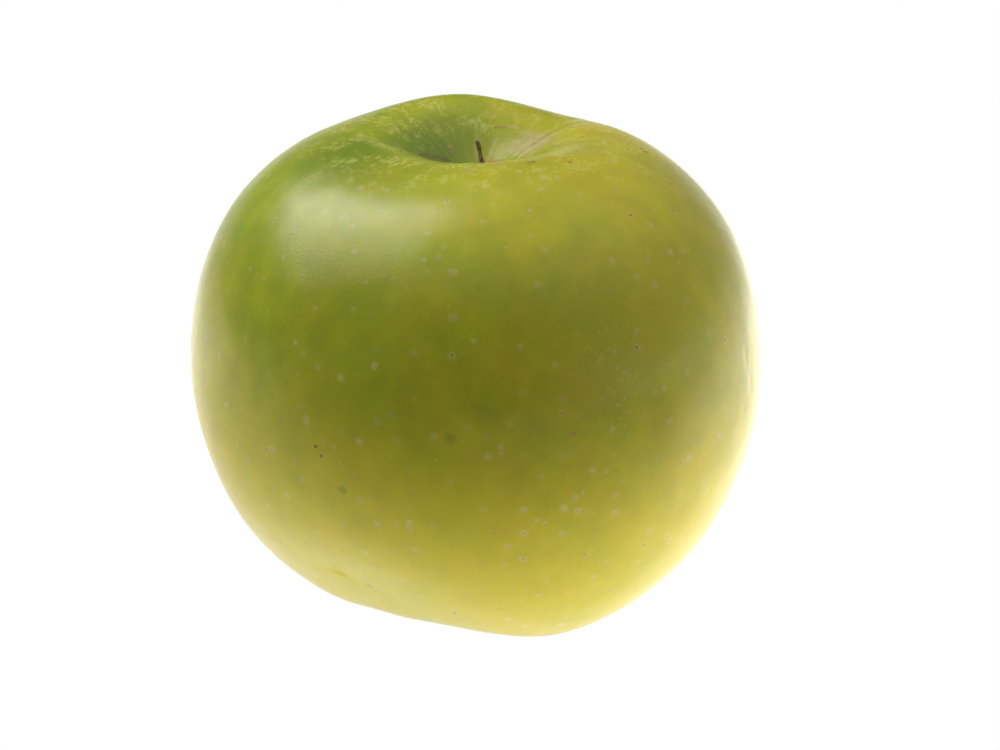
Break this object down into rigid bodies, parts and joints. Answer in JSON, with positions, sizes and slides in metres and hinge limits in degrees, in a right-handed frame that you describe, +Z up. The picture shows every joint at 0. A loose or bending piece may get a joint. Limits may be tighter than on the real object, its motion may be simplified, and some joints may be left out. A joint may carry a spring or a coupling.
{
  "type": "apple",
  "caption": "Whole green cooking apple with a withered stalk in its bowl and a dried flower in its basin; stands on its lobed foot.",
  "frame": {"origin": "under the middle of the fruit, on the surface that it stands on", "axes": "+Z up along the core, from the basin of the dried flower to the bowl of the stalk; +X to the right and +Y to the back of the view that shows the high back lobe behind the stalk"},
  "size_m": [0.0896, 0.0922, 0.0784],
  "materials": {
    "skin": "waxy satin fruit skin, green going over to yellow",
    "stalk": "withered, matt",
    "sepals": "dried, papery, matt",
    "stamens": "dried, matt"
  },
  "bodies": {
    "root": {"fruit": "skin", "stalk": "stalk", "sepal_1": "sepals", "sepal_2": "sepals", "sepal_3": "sepals", "sepal_4": "sepals", "sepal_5": "sepals", "stamens": "stamens"}
  },
  "joints": []
}
